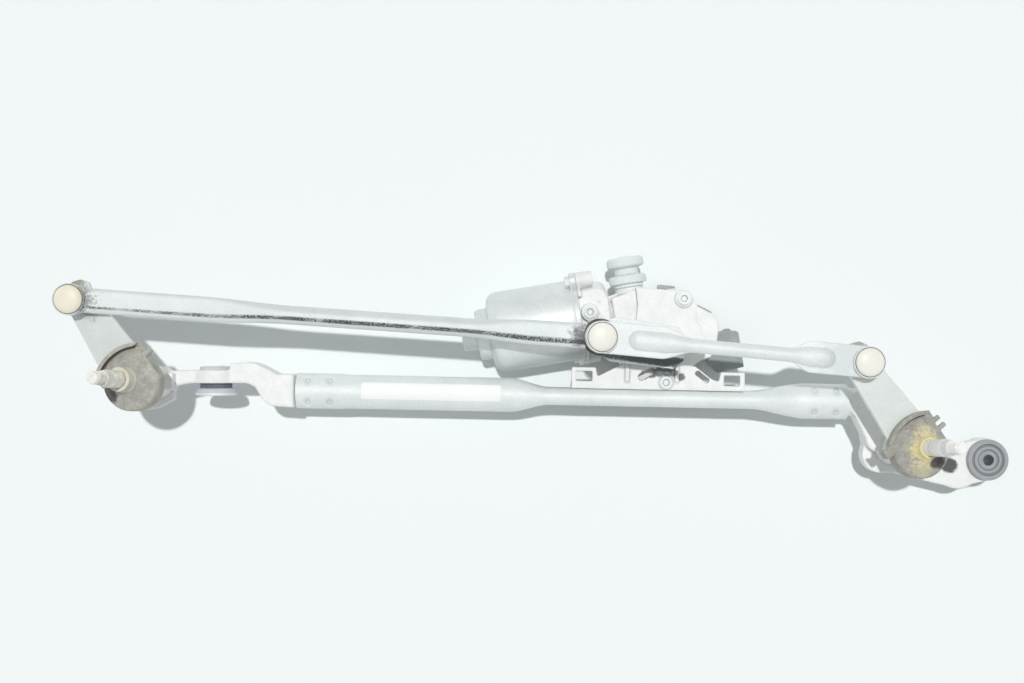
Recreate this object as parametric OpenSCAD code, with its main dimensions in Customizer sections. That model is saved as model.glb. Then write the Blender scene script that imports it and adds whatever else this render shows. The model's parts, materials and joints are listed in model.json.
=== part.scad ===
// Windscreen wiper linkage: a tube frame with a pivot holder at each end, a gear motor
// on a cast carrier, and two links that join the motor's crank to the wiper levers.
// X runs along the frame, Y across it and Z up along the right mount's bore.
// The origin is the middle of the right mount's bore. Heights named _h are measured
// from the surface that the part lies on.

/* [Layout] */
// Height of the middle of the right mount's bore
mount_h = 32.5; // [32.5]
// Left wiper shaft, where it meets the top of its lever, along X
left_pivot_x = -651.4; // [-655:0.1:-648]
// Left wiper shaft, along Y
left_pivot_y = 63.2; // [61:0.1:65]
// Left wiper shaft, height of the lever's top on the shaft
left_pivot_h = 92; // [90:0.5:95]
// Right wiper shaft, along X
right_pivot_x = -63.6; // [-66:0.1:-61]
// Right wiper shaft, along Y
right_pivot_y = 12.3; // [10:0.1:14]
// Right wiper shaft, height of the lever's top on the shaft
right_pivot_h = 83; // [81:0.5:86]
// Lean of the left shaft away from the motor, in degrees
left_lean_out = 13; // [10:0.5:15]
// Lean of the left shaft along Y, in degrees
left_lean_up = 3.5; // [2:0.5:5]
// Lean of the right shaft away from the motor, in degrees
right_lean_out = 13.5; // [10:0.5:15]
// Lean of the right shaft along Y, in degrees
right_lean_up = 4.2; // [2:0.1:5]
// Motor output shaft, along X
motor_x = -256; // [-258:0.5:-254]
// Motor output shaft, along Y
motor_y = 88.6; // [88:0.1:90]
// Turn of the motor about its output shaft, in degrees
motor_turn = 9; // [7:0.5:11]

/* [Levers, crank and links] */
// Shaft centre to ball centre of the left lever
left_lever_length = 74.75; // [72:0.25:78]
// Shaft centre to ball centre of the right lever
right_lever_length = 79.25; // [76:0.25:82]
// Direction of the left lever at rest, in degrees
left_lever_angle = 127; // [124:0.1:131]
// Direction of the right lever at rest, in degrees
right_lever_angle = 127; // [123:0.1:131]
// Thickness of a lever
lever_t = 4; // [3.5:0.1:4]
// Radius of a ball
ball_r = 8; // [7:0.5:8]
// Height of a ball's centre above its lever
ball_rise = 13; // [12.5:0.5:15]
// Throw of the crank
crank_throw = 48; // [46:0.5:50]
// Direction of the crank at rest, in degrees
crank_angle = 172; // [168:0.5:176]
// Height of the crank's underside
crank_h = 65.5; // [65:0.5:67]
// Height of the lower ball on the crank
lower_ball_h = 88; // [87:0.5:90]
// Height of the upper ball on the crank
upper_ball_h = 106; // [105:0.5:109]

/* [Pivots] */
// Radius of a wiper shaft
shaft_r = 6; // [5.5:0.1:6.2]
// Length of a wiper shaft above its lever
shaft_up = 58; // [52:1:60]
// Radius of the threaded tip that takes a wiper arm
arm_thread_r = 5; // [4:0.5:5]
// Outer radius of a pivot barrel
barrel_r = 12.5; // [11:0.5:14]
// Length of a pivot barrel
barrel_len = 46; // [45:1:48]
// Radius of a pivot cap
cap_r = 23; // [22.5:0.5:25]

/* [Frame] */
// Radius of the frame tube
tube_r = 13.2; // [12.5:0.1:13.5]
// Wall of the frame tube
tube_wall = 2; // [1.5:0.1:2.5]
// Height of the tube's centre line
tube_h = 40; // [38:0.5:42]
// Width of the tube where it is pressed flat
pinch_w = 13.5; // [12:0.5:15]
// Radius of the bolt bore in a mount
mount_bore_r = 4.25; // [3.25:0.25:4.5]

/* [Motor] */
// Radius of the motor can
can_r = 31.5; // [30:0.5:31.5]
// Length of the motor can, without its end boss
can_len = 71.5; // [68:0.5:74]
// Teeth of the worm wheel
wheel_teeth = 50; // [50]
// Module of the worm drive
wheel_module = 1; // [1]

/* [Hidden] */
$fn = 48;
thin = 0.1;
fit = 0.03;
slip = 0.1;

left_pivot = [left_pivot_x, left_pivot_y, left_pivot_h];
right_pivot = [right_pivot_x, right_pivot_y, right_pivot_h];
motor = [motor_x, motor_y, 0];

function lean(across, along) = let (v = [tan(across), tan(along), 1]) v / norm(v);
function turned(v, k, angle) = v * cos(angle) + cross(k, v) * sin(angle) + k * (k * v) * (1 - cos(angle));
function tilt_axis(a) = [-a.y, a.x, 0] / norm([-a.y, a.x]);
function on_axis(p, a, v) = p + turned(v, tilt_axis(a), acos(a.z));
function heading(v) = atan2(v.y, v.x);
function polar(r, angle, z = 0) = [r * cos(angle), r * sin(angle), z];
function arc(c, r, a, b, n = 6) = [for (i = [0 : n]) c + r * [cos(a + (b - a) * i / n), sin(a + (b - a) * i / n)]];

left_axis = lean(-left_lean_out, left_lean_up);
right_axis = lean(right_lean_out, right_lean_up);
left_ball = on_axis(left_pivot, left_axis, polar(left_lever_length, left_lever_angle, ball_rise));
right_ball = on_axis(right_pivot, right_axis, polar(right_lever_length, right_lever_angle, ball_rise));
crank_pin = motor + polar(crank_throw, crank_angle);
left_pin = crank_pin + [0, 0, lower_ball_h];
right_pin = crank_pin + [0, 0, upper_ball_h];
left_link_len = norm(left_ball - left_pin);
right_link_len = norm(right_ball - right_pin);

barrel_top = lever_t + 1.4;
barrel_end = barrel_top + barrel_len;
shaft_down = barrel_end + 5.6;
bush_r = 8;
bush_len = 12;
stud_r = 5;
foot_gap = 1;
cup_r = 11.9;
socket_r = 10.4;
cup_half = 6;
lever_hub_r = 17.5;

tube_left = [-536.2, 53.8, tube_h];
tube_right = [-109.8, 45, tube_h];
tube_dir = (tube_right - tube_left) / norm(tube_right - tube_left);
tube_len = norm(tube_right - tube_left);
pinch_h = (PI * 2 * tube_r - PI * pinch_w) / 2 + pinch_w;
taper_a = 165;
taper_b = 192;
taper_c = 352;
taper_d = 390;
spigot_r = tube_r - tube_wall - slip;
tube_gap = cross(tube_dir, motor - tube_left).z;

left_mount = [-598.7, 65, 45];
left_bar_t = 10;
left_eye_r = 18;
left_grommet_r = 11;
sleeve_r = 5.6;
right_plate_low = 26;
right_plate_high = 40;
right_eye_r = 16.6;
right_grommet_r = 12;
grommet_flange_r = 15.9;

worm_y = 30;
worm_h = can_r;
wheel_r = wheel_teeth * wheel_module / 2;
worm_r = worm_y - wheel_r;
worm_pitch = PI * wheel_module;
worm_turns = 6;
wheel_t = 10;
chamber_r = 31.5;
chamber_in = 27.2;
chamber_low = 12;
chamber_high = 47;
mouth_x = -56;
can_open_x = mouth_x - 5;
can_end_x = mouth_x - can_len;
lug_turn = 36;
lug_reach = 36.6;
deck_low = 50;
deck_t = 6;
carrier_bolts = [[-48.8, 34.1], [24, 32.9], [0.2, -28.5]];
boss_r = [6.5, 6.5, 5.2];
rubber_x = -14.6;
rubber_h = 35;

// Places

module lying() {
    translate([0, 0, -mount_h])
        children();
}

module on_shaft(p, a) {
    translate(p)
        rotate(acos(a.z), tilt_axis(a))
            children();
}

module on_left_shaft() {
    lying()
        on_shaft(left_pivot, left_axis)
            children();
}

module on_right_shaft() {
    lying()
        on_shaft(right_pivot, right_axis)
            children();
}

module from_to(a, b) {
    d = b - a;
    translate(a)
        rotate([0, -asin(d.z / norm(d)), heading(d)])
            children();
}

module on_tube() {
    lying()
        from_to(tube_left, tube_right)
            children();
}

module at_motor() {
    lying()
        translate(motor)
            rotate(motor_turn)
                children();
}

module on_worm_axis() {
    at_motor()
        translate([0, worm_y, worm_h])
            children();
}

module on_left_link() {
    lying()
        from_to(left_pin, left_ball)
            children();
}

module on_right_link() {
    lying()
        from_to(right_pin, right_ball)
            children();
}

// Shared shapes

module ring(outer, inner, low, high) {
    translate([0, 0, low])
        difference() {
            cylinder(r = outer, h = high - low);
            translate([0, 0, -1])
                cylinder(r = inner, h = high - low + 2);
        }
}

module rod(r, x0, x1) {
    translate([x0, 0, 0])
        rotate([0, 90, 0])
            cylinder(r = r, h = x1 - x0);
}

module pipe(outer, inner, x0, x1) {
    difference() {
        rod(outer, x0, x1);
        rod(inner, x0 - 1, x1 + 1);
    }
}

module peg(r, y0, y1) {
    translate([0, y1, 0])
        rotate([90, 0, 0])
            cylinder(r = r, h = y1 - y0);
}

module stadium(w, t) {
    square([w - t, t], center = true);
    for (side = [-1, 1])
        translate([side * (w - t) / 2, 0])
            circle(d = t);
}

module flat_bar(w, t, x0, x1) {
    translate([x0, 0, 0])
        rotate([90, 0, 90])
            linear_extrude(x1 - x0)
                stadium(w, t);
}

module upright_bar(w, t, x0, x1) {
    translate([x0, 0, 0])
        rotate([90, 0, 90])
            linear_extrude(x1 - x0)
                rotate(90)
                    stadium(w, t);
}

module strip(a, b, w) {
    d = b - a;
    translate(a)
        rotate(heading(d))
            translate([0, -w / 2])
                square([norm(d), w]);
}

module disc_chain(discs) {
    for (d = discs)
        translate([d.x, d.y])
            circle(r = d.z);
    for (i = [0 : len(discs) - 2]) {
        a = discs[i];
        b = discs[i + 1];
        strip([a.x, a.y], [b.x, b.y], 2 * min(a.z, b.z) - 0.6);
    }
}

// Frame tube

module tube_body(r, w, h, x0, x1) {
    rod(r, x0, taper_a);
    hull() {
        rod(r, taper_a - thin, taper_a, $fn = 32);
        upright_bar(h, w, taper_b, taper_b + thin, $fn = 32);
    }
    upright_bar(h, w, taper_b, taper_c);
    hull() {
        upright_bar(h, w, taper_c - thin, taper_c, $fn = 32);
        rod(r, taper_d, taper_d + thin, $fn = 32);
    }
    rod(r, taper_d, x1);
}

module frame_tube() {
    dent_r = 2.2;
    dent_y = 8.2;
    dent_reach = tube_r + 1.2;
    color("silver")
        on_tube()
            difference() {
                tube_body(tube_r, pinch_w, pinch_h, 0, tube_len);
                tube_body(tube_r - tube_wall, pinch_w - 2 * tube_wall, pinch_h - 2 * tube_wall,
                    -1, tube_len + 1);
                for (x = [9, 26, tube_len - 25, tube_len - 8])
                    for (y = [-dent_y, dent_y])
                        translate([x, y, sqrt(dent_reach * dent_reach - y * y)])
                            sphere(r = dent_r);
            }
}

// Pivot holders

module barrel() {
    translate([0, 0, -barrel_end])
        cylinder(r = barrel_r, h = barrel_len);
}

module barrel_bore() {
    translate([0, 0, -barrel_end - 30])
        cylinder(r = bush_r, h = barrel_len + 60);
}

module barrel_relief() {
    translate([0, 0, -barrel_end - 30])
        cylinder(r = barrel_r + 0.8, h = 30);
}

module left_bar_plan() {
    polygon([
        [-640, 68], [-630, 69.5], [-611, 70], [-585.9, 70], [-585.9, 75.4], [-574, 76], [-568, 75.6], [-562, 73.4],
        [-549.5, 66.8], [-537, 66.8], [-537, 41.2], [-555, 42.5], [-560.5, 46.5], [-566.5, 57],
        [-573, 60], [-587, 60], [-618, 60], [-630, 57], [-640, 56.4]
    ]);
}

module left_pivot_holder() {
    bar_low = 31;
    bar_high = 58;
    color("gainsboro")
        difference() {
            union() {
                on_tube()
                    rod(spigot_r, -4, 42);
                lying() {
                    translate([0, 0, bar_low])
                        linear_extrude(bar_high - bar_low)
                            left_bar_plan();
                    translate(left_mount)
                        peg(left_eye_r, -left_bar_t / 2, left_bar_t / 2);
                    translate([0, 0, 46])
                        linear_extrude(7)
                            polygon([
                                [-647, 75], [-630, 69], [-629, 47.5], [-642, 40.5], [-653, 39], [-660, 50],
                                [-658, 68]
                            ]);
                    translate([-645, 55, 40])
                        cube([17, 13, 25]);
                }
                on_left_shaft()
                    barrel();
            }
            on_left_shaft()
                barrel_bore();
            on_left_shaft()
                barrel_relief();
            lying()
                translate(left_mount)
                    peg(left_grommet_r, -20, 20);
        }
}

module right_pivot_holder() {
    color("gainsboro")
        difference() {
            union() {
                on_tube()
                    rod(spigot_r, tube_len - 32, tube_len + 6);
                lying() {
                    translate([0, 0, 30])
                        linear_extrude(20)
                            disc_chain([[-96.5, 44, 12.2], [-91, 33, 11.5], [-84, 18, 12]]);
                    translate([0, 0, right_plate_low])
                        linear_extrude(right_plate_high - right_plate_low)
                            disc_chain([[-84, 18, 12], [-82, 4, 14.5], [-60, 4, 17.5], [-22, -5, 17.8],
                                [0, 0, right_eye_r]]);
                }
                on_right_shaft()
                    barrel();
            }
            on_right_shaft()
                barrel_bore();
            on_right_shaft()
                barrel_relief();
            lying()
                translate([0, 0, right_plate_low - 1])
                    cylinder(r = right_grommet_r, h = right_plate_high - right_plate_low + 2);
        }
}

module bush_pair() {
    for (low = [-barrel_end, -barrel_top - bush_len])
        ring(bush_r - fit / 3, shaft_r + fit, low, low + bush_len);
}

module left_bushes() {
    color("peru")
        on_left_shaft()
            bush_pair();
}

module right_bushes() {
    color("peru")
        on_right_shaft()
            bush_pair();
}

// Body mounts

module left_mount_grommet() {
    color("dimgray")
        lying()
            translate(left_mount)
                difference() {
                    union() {
                        peg(left_grommet_r - 0.02, -5, 5);
                        peg(12.5, 5, 10.5);
                        peg(13.2, -12, -5);
                    }
                    peg(sleeve_r, -20, 20);
                }
}

module left_mount_sleeve() {
    color("silver")
        lying()
            translate(left_mount)
                difference() {
                    union() {
                        peg(sleeve_r - 0.02, -14.5, 11.5);
                        peg(16, -14.5, -12);
                    }
                    peg(mount_bore_r, -20, 20);
                }
}

module right_mount_grommet() {
    top = right_plate_high;
    color("dimgray")
        lying()
            rotate_extrude()
                polygon([
                    [sleeve_r, 20], [grommet_flange_r - 1, 20], [grommet_flange_r, 21],
                    [grommet_flange_r, right_plate_low], [right_grommet_r - 0.02, right_plate_low],
                    [right_grommet_r - 0.02, top], [grommet_flange_r, top], [grommet_flange_r, top + 5],
                    [grommet_flange_r - 1, top + 6], [12.6, top + 6], [12.2, top + 4.6], [10.8, top + 4.6],
                    [10.4, top + 5.6], [8.4, top + 5.6], [8, top + 4.4], [sleeve_r, top + 4.4]
                ]);
}

module right_mount_sleeve() {
    color("silver")
        lying()
            ring(sleeve_r - 0.02, mount_bore_r, 20, right_plate_high + 5);
}

// Motor can and what it holds

module flange_plan() {
    circle(r = can_r - 0.4);
    for (turn = [lug_turn, lug_turn + 180])
        rotate(turn) {
            translate([lug_reach, 0])
                circle(r = 6.5);
            translate([lug_reach / 2, -6.5])
                square([lug_reach / 2, 13]);
        }
}

module flange_plate(x0, x1) {
    translate([x0, 0, 0])
        rotate([90, 0, 90])
            linear_extrude(x1 - x0)
                flange_plan();
}

module lug_places() {
    for (turn = [lug_turn, lug_turn + 180])
        rotate([turn, 0, 0])
            translate([0, lug_reach, 0])
                children();
}

module turned_along(profile) {
    rotate([0, 90, 0])
        rotate_extrude()
            polygon(profile);
}

module motor_can() {
    wall = 2;
    e = can_end_x;
    shoulder = [can_r - 9, e + 9];
    color("lightslategray")
        on_worm_axis()
            difference() {
                union() {
                    turned_along(concat(
                        [[0, e - 22], [9.5, e - 22], [11, e - 20.5], [11, e - 10.5], [18, e - 10], [20, e - 8]],
                        [[20, e - 1], [20.8, e]], arc(shoulder, 9, -90, 0), [[can_r, can_open_x], [0, can_open_x]]
                    ));
                    flange_plate(can_open_x, mouth_x);
                }
                turned_along(concat(
                    [[0, e - 18], [5.5, e - 18], [5.5, e - 9], [7.5, e - 9], [7.5, e + wall]],
                    arc(shoulder, 9 - wall, -90, 0), [[can_r - wall, mouth_x + 1], [0, mouth_x + 1]]
                ));
                lug_places()
                    rod(2.3, can_open_x - 1, mouth_x + 1);
            }
}

module field_magnets() {
    color("darkslategray")
        on_worm_axis()
            difference() {
                pipe(can_r - 2.1, 23.2, can_end_x + 10, can_end_x + 52);
                translate([can_end_x, -40, -12])
                    cube([60, 80, 24]);
            }
}

module end_bearing() {
    color("peru")
        on_worm_axis()
            pipe(7.48, 4 + fit, can_end_x - 8.5, can_end_x + 1);
}

module brush_carrier() {
    color("saddlebrown")
        on_worm_axis()
            difference() {
                union() {
                    rod(can_r - 2.2, mouth_x - 4, mouth_x - 0.5);
                    for (side = [-1, 1])
                        translate([mouth_x - 14, side * 16 - 6, -5])
                            cube([11, 12, 10]);
                }
                rod(11.5, mouth_x - 20, mouth_x + 1);
                for (side = [-1, 1])
                    translate([mouth_x - 13, side * 16 - 7, -3.5])
                        cube([8, 14, 7]);
            }
}

module brushes() {
    color("black")
        on_worm_axis()
            for (side = [-1, 1])
                translate([mouth_x - 12.9, side * 15.6 - 5, -3.4])
                    cube([7.8, 10, 6.8]);
}

module can_screws() {
    color("dimgray")
        on_worm_axis()
            lug_places() {
                rod(2.2, can_open_x, mouth_x + 8);
                translate([can_open_x - 3.5, 0, 0])
                    rotate([0, 90, 0])
                        cylinder(r = 4.4, h = 3.5, $fn = 6);
            }
}

// Gear housing and what it holds

module housing_outline() {
    polygon([
        [-33.5, 12], [-33.5, 44], [-11, 47.4], [20, 40.6], [31.3, 33.8], [34.4, 26.5], [46.7, 17.7], [50.1, 8.4],
        [46.1, -4.7], [39.5, -15.4], [22, -19]
    ]);
}

module housing_plan() {
    circle(r = chamber_r);
    housing_outline();
}

module housing_body() {
    translate([0, 0, chamber_low])
        linear_extrude(28)
            housing_plan();
    translate([0, 0, chamber_low])
        cylinder(r = chamber_r - 1, h = chamber_high - chamber_low);
    translate([0, 0, chamber_low])
        linear_extrude(chamber_high - chamber_low)
            polygon([[-30, 12], [-30, 42], [-11, 45.4], [19, 38.8], [29, 32.8], [32, 25], [28, 8], [0, 0]]);
    translate([0, 0, chamber_high - 1])
        cylinder(r = 12, h = 64 - chamber_high);
    for (turn = [-60, -150, 0])
        rotate(turn)
            translate([8, -1.5, chamber_high - 1])
                cube([20, 3, 3]);
    for (i = [0 : len(carrier_bolts) - 1])
        translate([carrier_bolts[i].x, carrier_bolts[i].y, worm_h])
            cylinder(r = boss_r[i], h = deck_low - worm_h);
    translate([rubber_x, 0, rubber_h]) {
        peg(5, worm_y, 73);
        peg(11, worm_y, 48.5);
    }
    intersection() {
        translate([0, worm_y, worm_h])
            turned_along(concat([[0, mouth_x + 1], [27.5, mouth_x + 1]], arc([20.5, -40], 7, 0, 90), [[0, -33]]));
        translate([-60, 0, 0])
            cube([40, 62, deck_low - 0.2]);
    }
    translate([0, worm_y, worm_h]) {
        rod(12.5, -34, 21);
        rod(6.5, 20, 30.5);
        flange_plate(mouth_x, mouth_x + 3);
        lug_places()
            rod(6, mouth_x + 2, mouth_x + 13);
    }
}

module gear_housing() {
    color("whitesmoke")
        at_motor()
            difference() {
                housing_body();
                translate([0, 0, -1])
                    linear_extrude(chamber_low + 1)
                        housing_plan();
                translate([0, 0, chamber_low - 1])
                    cylinder(r = chamber_in, h = 31);
                translate([0, 0, chamber_low])
                    cylinder(r = 9, h = 60);
                for (b = carrier_bolts)
                    translate([b.x, b.y, deck_low - 6.5])
                        cylinder(r = 3, h = 10);
                translate([mouth_x - 1, worm_y - 19, deck_low - 0.2])
                    cube([40, 36, 30]);
                translate([0, worm_y, worm_h]) {
                    rod(12, mouth_x - 1, -36);
                    rod(8, -40, 18);
                    rod(4 + fit, 17, 28);
                    lug_places()
                        rod(2.25, mouth_x - 1, mouth_x + 9);
                }
            }
}

module gear_cover() {
    high = chamber_low - 0.05;
    color("black")
        at_motor()
            difference() {
                union() {
                    cylinder(r = chamber_r, h = high);
                    linear_extrude(high)
                        housing_outline();
                    for (tab = [[17, 42, -14], [42.5, 20, -36]])
                        translate([tab.x, tab.y, high / 2 - 1])
                            rotate(tab.z)
                                cube([14, 8.6, high - 4], center = true);
                }
                translate([0, 0, 3])
                    cylinder(r = chamber_in, h = chamber_low);
            }
}

module connector() {
    color("black")
        at_motor()
            difference() {
                union() {
                    translate([0, 0, 14])
                        linear_extrude(20)
                            polygon([[48, 4], [63, 2.2], [65, 0.5], [65, -27], [44, -28.5], [41, -24], [36, -14]]);
                    translate([0, 0, 18])
                        linear_extrude(12)
                            polygon([[50, 0], [56, 4.6], [59, 4.6], [62, 0]]);
                }
                translate([0, 0, chamber_low - 1])
                    linear_extrude(40)
                        housing_plan();
                translate([51, -24, 17])
                    cube([40, 22, 14]);
            }
}

module connector_pins() {
    color("gold")
        at_motor()
            for (y = [-20, -15, -10, -5])
                translate([51, y, 23])
                    cube([5, 0.8, 2]);
}

module output_bush() {
    color("peru")
        at_motor()
            ring(9 - 0.02, shaft_r + fit, 42.2, 63);
}

// Cast carrier between the motor and the tube

module carrier_plan() {
    flank = -tube_gap + pinch_w / 2;
    difference() {
        union() {
            rotate(motor_turn) {
                polygon([
                    [-11, 47.4], [19.5, 40], [30.5, 33.2], [33.6, 26.2], [31, 15.2], [35.5, 1.8], [33, -14],
                    [12, -25], [-20, -22], [-18, 8], [-15.3, 20.8], [-11.5, 34]
                ]);
                disc_chain([[-16, 14, 6], [-40, 19, 6.2], [carrier_bolts[0].x, carrier_bolts[0].y, 6.8]]);
                translate(carrier_bolts[1])
                    circle(r = 6.8);
            }
            rotate(heading(tube_dir))
                translate([0, flank])
                    polygon([
                        [-67, 0], [66, 0], [66, 14.5], [47.5, 14.5], [46, 7.2], [40.5, 9], [28, 18.4],
                        [18.6, 19], [14, 28], [-16, 28], [-28, 19.5], [-47, 9.5], [-48.6, 16.3], [-67, 16.3]
                    ]);
        }
        circle(r = 12.6);
        rotate(heading(tube_dir))
            translate([0, flank]) {
                translate([-63.8, 5.8])
                    square([12.6, 7.6]);
                translate([50, 4])
                    square([12.2, 8]);
                disc_chain([[-13.5, 9.5, 2.6], [-6.5, 13.4, 2.6]]);
                disc_chain([[30, 13.2, 2.2], [36.5, 8.2, 2.2]]);
            }
    }
}

module motor_carrier() {
    flank = -tube_gap + pinch_w / 2;
    color("whitesmoke")
        lying()
            translate(motor)
                difference() {
                    union() {
                        translate([0, 0, deck_low])
                            linear_extrude(deck_t)
                                carrier_plan();
                        rotate(motor_turn)
                            for (i = [0 : len(carrier_bolts) - 1])
                                translate([carrier_bolts[i].x, carrier_bolts[i].y, deck_low])
                                    cylinder(r = boss_r[i], h = deck_t + 1.5);
                        rotate(heading(tube_dir)) {
                            for (x = [-67, 38])
                                translate([x, flank, 30.5])
                                    cube([28, 3, 20]);
                            for (x = [-26, 12])
                                translate([x, flank + 1, deck_low + deck_t])
                                    rotate([90, 0, 90])
                                        linear_extrude(3)
                                            polygon([[3, -1], [22, -1], [20, 2.5], [6, 2.5]]);
                        }
                    }
                    rotate(motor_turn)
                        for (b = carrier_bolts)
                            translate([b.x, b.y, deck_low - 1])
                                cylinder(r = 3.3, h = 20);
                }
}

module carrier_bolt_set() {
    seat = deck_low + deck_t;
    color("gray")
        at_motor()
            for (i = [0 : len(carrier_bolts) - 1])
                translate([carrier_bolts[i].x, carrier_bolts[i].y, 1.5])
                    difference() {
                        union() {
                            translate([0, 0, deck_low - 5])
                                cylinder(r = 2.98, h = deck_t + 5);
                            translate([0, 0, seat])
                                cylinder(r = 4.9, h = 2.4);
                        }
                        translate([0, 0, seat + 0.4])
                            cylinder(r = 2.9, h = 5, $fn = 6);
                    }
}

module motor_mount_rubber() {
    color("dimgray")
        at_motor()
            translate([rubber_x, 0, rubber_h])
                rotate([-90, 0, 0])
                    rotate_extrude()
                        polygon([
                            [5.03, 48.6], [11.4, 48.6], [11.4, 51.5], [14.5, 51.5], [14.5, 57], [13.5, 58],
                            [9.4, 58.6], [9.4, 63.5], [13.4, 64.5], [14.4, 65.5], [14.4, 70.5], [12.9, 72],
                            [5.03, 72]
                        ]);
}

// Crank and output shaft

module crank_arm() {
    color("darkgray")
        lying()
            translate([motor_x, motor_y, crank_h])
                rotate(crank_angle)
                    linear_extrude(5)
                        difference() {
                            union() {
                                polygon([[-18, -9], [-11, -16], [37, -17], [46, -12.6], [46, 12.6],
                                    [37, 17], [-11, 16], [-18, 9]]);
                                translate([crank_throw, 0])
                                    circle(r = 12.8);
                            }
                            circle(r = stud_r + 0.02);
                            translate([crank_throw, 0])
                                circle(r = stud_r + 0.02);
                        }
}

module crank_stud() {
    color("silver")
        lying()
            translate(crank_pin) {
                translate([0, 0, crank_h - 2])
                    cylinder(r = 7, h = 2);
                translate([0, 0, crank_h - 1])
                    cylinder(r = stud_r, h = lower_ball_h - crank_h);
                translate([0, 0, crank_h + 5])
                    cylinder(r = 8, h = 2.5);
                translate([0, 0, lower_ball_h])
                    cylinder(r = 4.6, h = upper_ball_h - lower_ball_h);
                for (h = [lower_ball_h, upper_ball_h])
                    translate([0, 0, h])
                        sphere(r = ball_r);
            }
}

module crank_nut() {
    color("gray")
        lying()
            translate([motor_x, motor_y, crank_h + 5])
                difference() {
                    cylinder(r = 7.5, h = 6, $fn = 6);
                    translate([0, 0, -1])
                        cylinder(r = 4.02, h = 8);
                }
}

module output_shaft() {
    color("gray")
        at_motor() {
            translate([0, 0, 20])
                cylinder(r = shaft_r, h = crank_h - 20);
            translate([0, 0, crank_h - 1])
                cylinder(r = stud_r, h = 6);
            translate([0, 0, crank_h])
                cylinder(r = 4, h = 12.5);
        }
}

module tooth_ring() {
    pitch = 360 / wheel_teeth;
    tip_r = wheel_r + 0.7;
    root_r = wheel_r - 1.4;
    polygon([
        for (i = [0 : wheel_teeth - 1])
            for (p = [[root_r, -0.3], [tip_r, -0.06], [tip_r, 0.06], [root_r, 0.3]])
                p.x * [cos(90 + (i + p.y) * pitch), sin(90 + (i + p.y) * pitch)]
    ]);
}

module worm_wheel() {
    color("ivory")
        at_motor()
            difference() {
                union() {
                    translate([0, 0, worm_h - wheel_t / 2])
                        linear_extrude(wheel_t)
                            tooth_ring();
                    translate([0, 0, 24])
                        cylinder(r = 12, h = 17.5);
                }
                translate([0, 0, 10])
                    cylinder(r = shaft_r + 0.01, h = 40);
                for (low = [worm_h - wheel_t / 2 - 1, worm_h + 2])
                    ring(21, 14, low, low + 4);
            }
}

// Armature

module worm_shaft() {
    length = worm_turns * worm_pitch;
    color("silver")
        on_worm_axis() {
            rod(4, can_end_x - 8, -length / 2 + 1);
            rod(4, length / 2 - 1, 27.5);
            rotate([0, 90, 0])
                linear_extrude(length, center = true, twist = -360 * worm_turns, slices = 12 * worm_turns, $fn = 14)
                    translate([0, 1.1])
                        circle(r = worm_r - 0.1);
        }
}

module rotor_core() {
    color("sienna")
        on_worm_axis()
            difference() {
                rod(22.4, can_end_x + 12, can_end_x + 50);
                rod(4.01, can_end_x, mouth_x);
                for (i = [0 : 9])
                    rotate([i * 36, 0, 0])
                        translate([can_end_x + 11, -1.3, 12])
                            cube([40, 2.6, 12]);
            }
}

module commutator() {
    color("peru")
        on_worm_axis()
            pipe(10.2, 4.01, mouth_x - 14, mouth_x - 3);
}

// Levers and wiper shafts

module lever_plate(length) {
    translate([0, 0, -lever_t])
        linear_extrude(lever_t)
            difference() {
                union() {
                    circle(r = lever_hub_r);
                    polygon([
                        [-1, -lever_hub_r + 0.1], [6, -lever_hub_r - 0.5], [length - 2, -11.6],
                        [length + 7, -14], [length + 13, -10], [length + 15.5, -4], [length + 15.5, 4],
                        [length + 10, 10], [length - 2, 11.6], [6, lever_hub_r + 0.5], [-1, lever_hub_r - 0.1]
                    ]);
                }
                circle(r = shaft_r + 0.01);
                translate([length, 0])
                    circle(r = stud_r);
            }
}

module left_lever() {
    color("lightgray")
        on_left_shaft()
            rotate(left_lever_angle)
                lever_plate(left_lever_length);
}

module right_lever() {
    color("lightgray")
        on_right_shaft()
            rotate(right_lever_angle)
                lever_plate(right_lever_length);
}

module wiper_shaft() {
    cone_low = shaft_up - 19;
    cone_high = shaft_up - 12;
    difference() {
        union() {
            translate([0, 0, -shaft_down])
                cylinder(r = shaft_r, h = shaft_down + cone_low);
            translate([0, 0, cone_low])
                cylinder(r1 = shaft_r, r2 = 5.4, h = cone_high - cone_low);
            translate([0, 0, cone_high])
                cylinder(r = arm_thread_r, h = shaft_up - cone_high);
        }
        ring(shaft_r + 2, 5, -shaft_down + 2.4, -shaft_down + 3.6);
    }
}

module left_shaft() {
    color("beige")
        on_left_shaft()
            wiper_shaft();
}

module right_shaft() {
    color("silver")
        on_right_shaft()
            wiper_shaft();
}

module washer_pair() {
    ring(11, shaft_r + slip, -lever_t - 1.25, -lever_t - 0.05);
    ring(11, shaft_r + slip, -barrel_end - 1.5, -barrel_end - 0.2);
}

module left_washers() {
    color("lightgray")
        on_left_shaft()
            washer_pair();
}

module right_washers() {
    color("lightgray")
        on_right_shaft()
            washer_pair();
}

module circlip() {
    difference() {
        ring(8.6, 5.02, -shaft_down + 2.5, -shaft_down + 3.5);
        translate([0, -1.5, -shaft_down])
            cube([20, 3, 10]);
    }
}

module left_circlip() {
    color("dimgray")
        on_left_shaft()
            circlip();
}

module right_circlip() {
    color("dimgray")
        on_right_shaft()
            circlip();
}

module stud_rivet(length) {
    translate([length, 0, -lever_t - 2.5])
        cylinder(r = 8, h = 2.5);
    translate([length, 0, -lever_t - 1])
        cylinder(r = stud_r - 0.01, h = lever_t + 1);
}

module left_stud_rivet() {
    color("silver")
        on_left_shaft()
            rotate(left_lever_angle)
                stud_rivet(left_lever_length);
}

module right_stud_rivet() {
    color("silver")
        on_right_shaft()
            rotate(right_lever_angle)
                stud_rivet(right_lever_length);
}

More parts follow.
